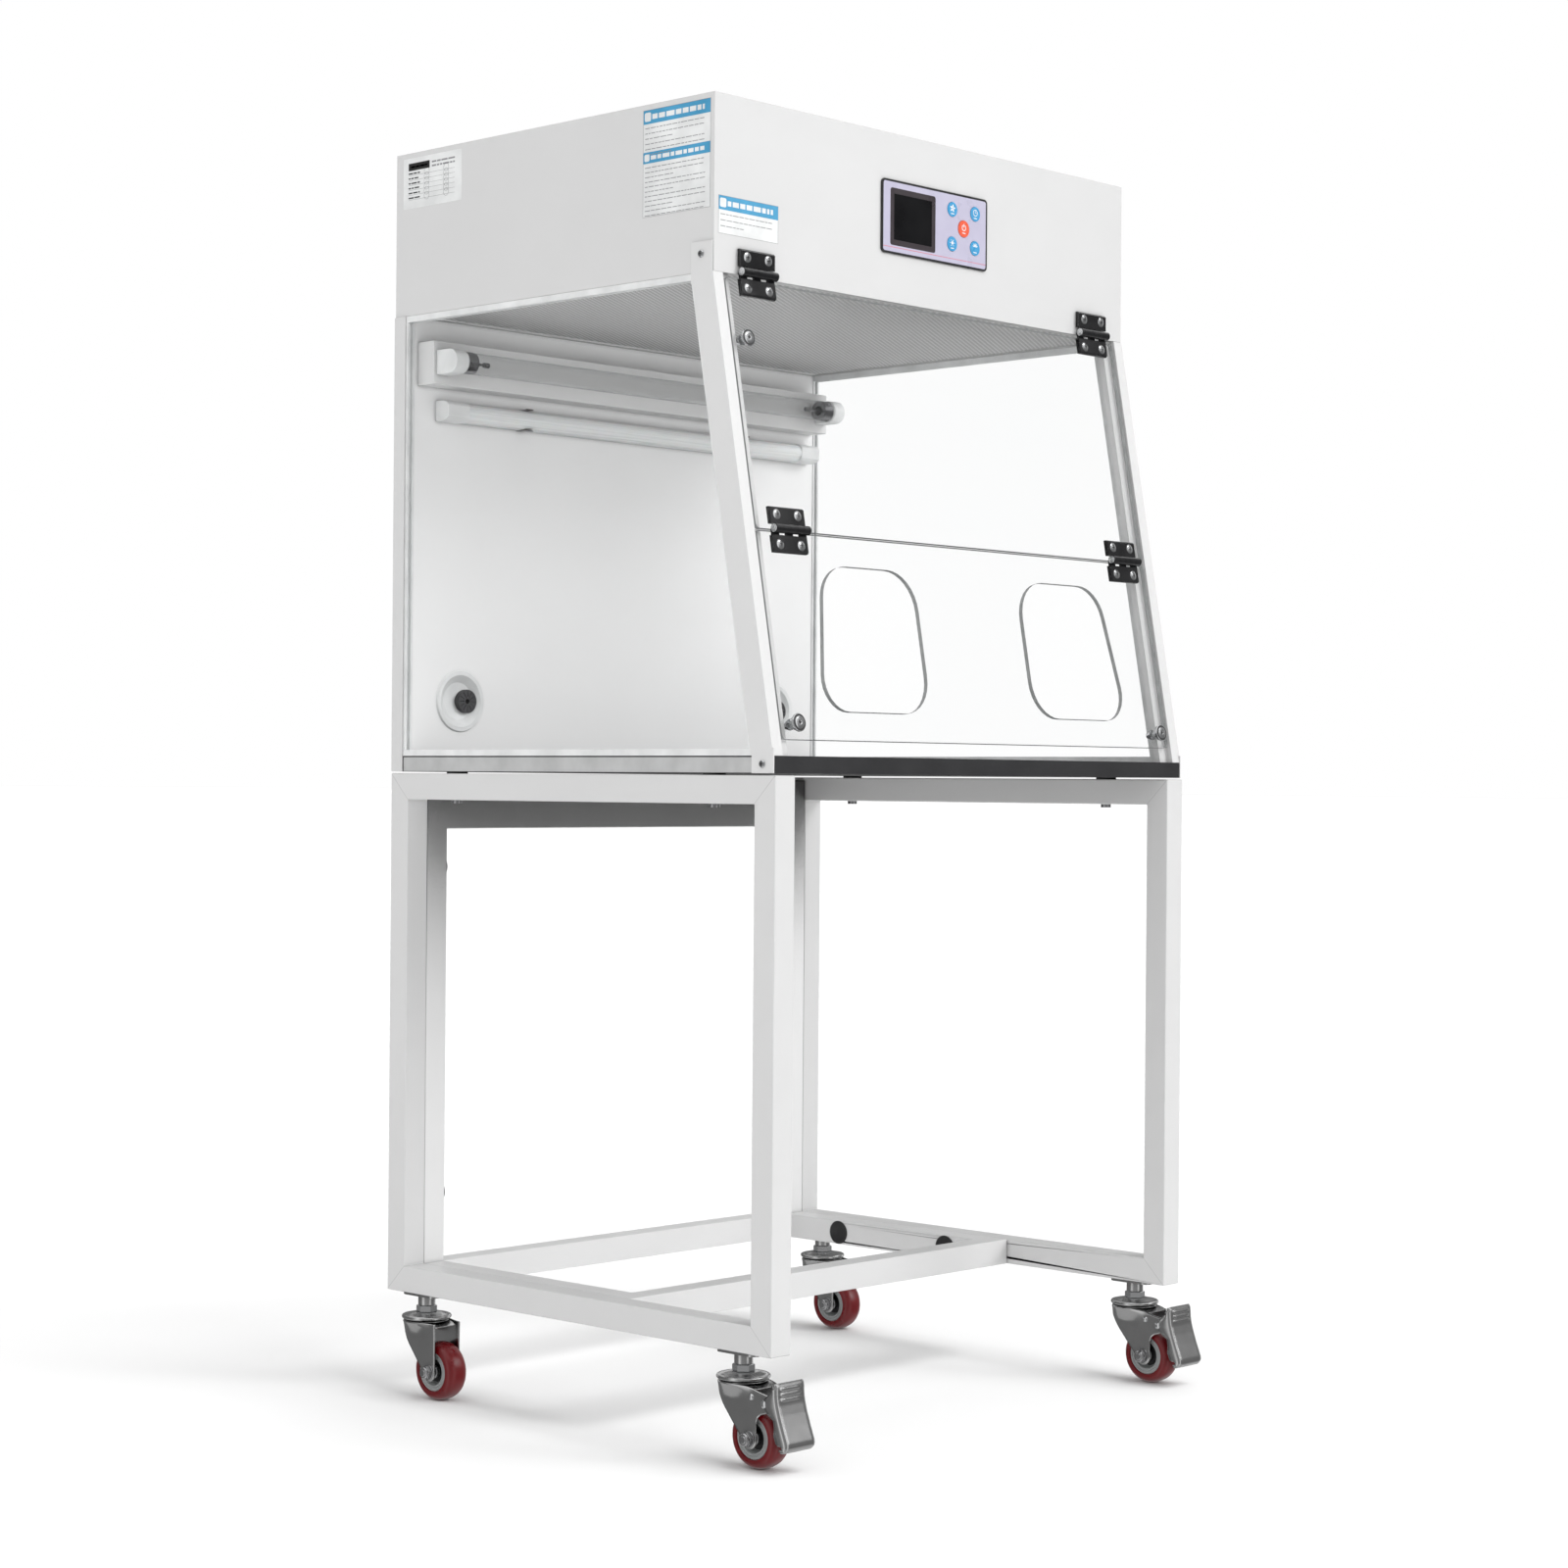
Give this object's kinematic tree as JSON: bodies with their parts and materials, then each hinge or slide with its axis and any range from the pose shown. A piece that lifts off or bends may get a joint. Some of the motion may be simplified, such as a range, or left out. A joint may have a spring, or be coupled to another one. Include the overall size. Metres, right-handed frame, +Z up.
{
  "type": "fume hood",
  "caption": "Ductless vertical-flow fume hood: filter head over a glazed chamber with folding sloped sash and arm holes, on a braked wheeled tube stand.",
  "frame": {"origin": "on the floor under the middle of the object's plan", "axes": "+X to the operator's right, +Y from the operator towards the back, +Z up"},
  "size_m": [0.7268, 0.646, 1.427],
  "materials": {
    "frame_paint": "powder-coated satin white",
    "zinc": "zinc plated",
    "black_plastic": "moulded",
    "chrome": "polished",
    "rubber": "matt",
    "worktop_sheet": "dark laminate-like coating",
    "grey_trim": "satin",
    "casing_paint": "fine powder coat, white",
    "clear_glass": "clear polished acrylic",
    "white_plastic": "moulded",
    "filter_fabric": "pleated glass-fibre paper",
    "galvanised": "galvanised",
    "motor_paint": "matt",
    "diffuser_metal": "perforated, satin",
    "panel_face": "printed film",
    "display": "black screen",
    "circuit_board": "solder mask",
    "blue_button": "domed",
    "red_button": "domed",
    "lamp_glass": "clear quartz",
    "lamp_diffuser": "milky",
    "grommet_rubber": "ribbed",
    "hinge_metal": "dark gloss",
    "wheel_rubber": "red tyre on a grey hub"
  },
  "bodies": {
    "stand_and_cabinet": {"left_side_frame": "frame_paint", "right_side_frame": "frame_paint", "rear_inner_frame": "frame_paint", "base_inner_frame": "frame_paint", "frame_bolts": "zinc", "frame_plugs": "black_plastic", "caster_mounts": "chrome", "hood_pads": "rubber", "hood_bolts": "zinc", "worktop": "worktop_sheet", "worktop_edge_rails": "grey_trim", "back_liner": "casing_paint", "rear_panel": "casing_paint", "left_front_post": "casing_paint", "right_front_post": "casing_paint", "left_window": "clear_glass", "right_window": "clear_glass", "left_window_trim": "white_plastic", "right_window_trim": "white_plastic", "casing_screws": "chrome", "head_shell": "casing_paint", "head_top_cover": "casing_paint", "prefilter": "filter_fabric", "fan_deck": "galvanised", "fan_motor": "motor_paint", "hepa_filter": "filter_fabric", "diffuser_plate": "diffuser_metal", "control_panel": "panel_face", "display_screen": "display", "control_board": "circuit_board", "uv_fixture": "casing_paint", "uv_sockets": "white_plastic", "uv_lamp": "lamp_glass", "led_batten": "lamp_diffuser", "cable_ports": "white_plastic", "port_grommets": "grommet_rubber", "power_inlet": "black_plastic", "head_hinge_leaves": "hinge_metal"},
    "upper_sash_group": {"upper_sash": "clear_glass", "upper_sash_leaves": "hinge_metal", "upper_sash_catch": "chrome"},
    "lower_sash_group": {"lower_sash": "clear_glass", "lower_sash_leaves": "hinge_metal", "lower_sash_knobs": "chrome"},
    "impeller": {"fan_impeller": "black_plastic"},
    "fan_button_body": {"fan_button": "blue_button"},
    "timer_button_body": {"timer_button": "blue_button"},
    "power_button_body": {"power_button": "red_button"},
    "lamp_button_body": {"lamp_button": "blue_button"},
    "uv_button_body": {"uv_button": "blue_button"},
    "front_left_swivel": {"front_left_fork": "zinc"},
    "front_left_roller": {"front_left_wheel": "wheel_rubber"},
    "front_right_swivel": {"front_right_fork": "zinc"},
    "front_right_roller": {"front_right_wheel": "wheel_rubber"},
    "rear_left_swivel": {"rear_left_fork": "zinc"},
    "rear_left_roller": {"rear_left_wheel": "wheel_rubber"},
    "rear_right_swivel": {"rear_right_fork": "zinc"},
    "rear_right_roller": {"rear_right_wheel": "wheel_rubber"},
    "front_left_brake": {"front_left_pedal": "zinc"},
    "front_right_brake": {"front_right_pedal": "zinc"}
  },
  "joints": [
    {"name": "upper_sash_hinge", "type": "hinge", "parent": "stand_and_cabinet", "child": "upper_sash_group", "pos_m": [0, -0.20166, 1.2425], "axis": [-1, 0, 0], "range_deg": [0, 95]},
    {"name": "lower_sash_hinge", "type": "hinge", "parent": "upper_sash_group", "child": "lower_sash_group", "pos_m": [0, -0.25121, 0.97103], "axis": [-1, 0, 0], "range_deg": [0, 178]},
    {"name": "fan_spin", "type": "hinge", "parent": "stand_and_cabinet", "child": "impeller", "pos_m": [0, 0.063, 1.354], "axis": [0, 0, 1], "continuous": true},
    {"name": "fan_button_press", "type": "slide", "parent": "stand_and_cabinet", "child": "fan_button_body", "axis": [0, 1, 0], "range_m": [0, 0.0008], "stiffness_N_per_m": 400, "springref_m": -0.0008},
    {"name": "timer_button_press", "type": "slide", "parent": "stand_and_cabinet", "child": "timer_button_body", "axis": [0, 1, 0], "range_m": [0, 0.0008], "stiffness_N_per_m": 400, "springref_m": -0.0008},
    {"name": "lamp_button_press", "type": "slide", "parent": "stand_and_cabinet", "child": "lamp_button_body", "axis": [0, 1, 0], "range_m": [0, 0.0008], "stiffness_N_per_m": 400, "springref_m": -0.0008},
    {"name": "uv_button_press", "type": "slide", "parent": "stand_and_cabinet", "child": "uv_button_body", "axis": [0, 1, 0], "range_m": [0, 0.0008], "stiffness_N_per_m": 400, "springref_m": -0.0008},
    {"name": "power_button_press", "type": "slide", "parent": "stand_and_cabinet", "child": "power_button_body", "axis": [0, 1, 0], "range_m": [0, 0.0008], "stiffness_N_per_m": 400, "springref_m": -0.0008},
    {"name": "front_left_swivel_turn", "type": "hinge", "parent": "stand_and_cabinet", "child": "front_left_swivel", "pos_m": [-0.335, -0.238, 0.086], "axis": [0, 0, 1], "continuous": true},
    {"name": "front_left_wheel_roll", "type": "hinge", "parent": "front_left_swivel", "child": "front_left_roller", "pos_m": [-0.335, -0.264, 0.033], "axis": [1, 0, 0], "continuous": true},
    {"name": "front_right_swivel_turn", "type": "hinge", "parent": "stand_and_cabinet", "child": "front_right_swivel", "pos_m": [0.335, -0.238, 0.086], "axis": [0, 0, 1], "continuous": true},
    {"name": "front_right_wheel_roll", "type": "hinge", "parent": "front_right_swivel", "child": "front_right_roller", "pos_m": [0.335, -0.264, 0.033], "axis": [1, 0, 0], "continuous": true},
    {"name": "rear_left_swivel_turn", "type": "hinge", "parent": "stand_and_cabinet", "child": "rear_left_swivel", "pos_m": [-0.335, 0.268, 0.086], "axis": [0, 0, 1], "continuous": true},
    {"name": "rear_left_wheel_roll", "type": "hinge", "parent": "rear_left_swivel", "child": "rear_left_roller", "pos_m": [-0.335, 0.242, 0.033], "axis": [1, 0, 0], "continuous": true},
    {"name": "rear_right_swivel_turn", "type": "hinge", "parent": "stand_and_cabinet", "child": "rear_right_swivel", "pos_m": [0.335, 0.268, 0.086], "axis": [0, 0, 1], "continuous": true},
    {"name": "rear_right_wheel_roll", "type": "hinge", "parent": "rear_right_swivel", "child": "rear_right_roller", "pos_m": [0.335, 0.242, 0.033], "axis": [1, 0, 0], "continuous": true},
    {"name": "front_left_brake_press", "type": "hinge", "parent": "front_left_swivel", "child": "front_left_brake", "pos_m": [-0.335, -0.288, 0.066], "axis": [1, 0, 0], "range_deg": [0, 12]},
    {"name": "front_right_brake_press", "type": "hinge", "parent": "front_right_swivel", "child": "front_right_brake", "pos_m": [0.335, -0.288, 0.066], "axis": [1, 0, 0], "range_deg": [0, 12]}
  ]
}
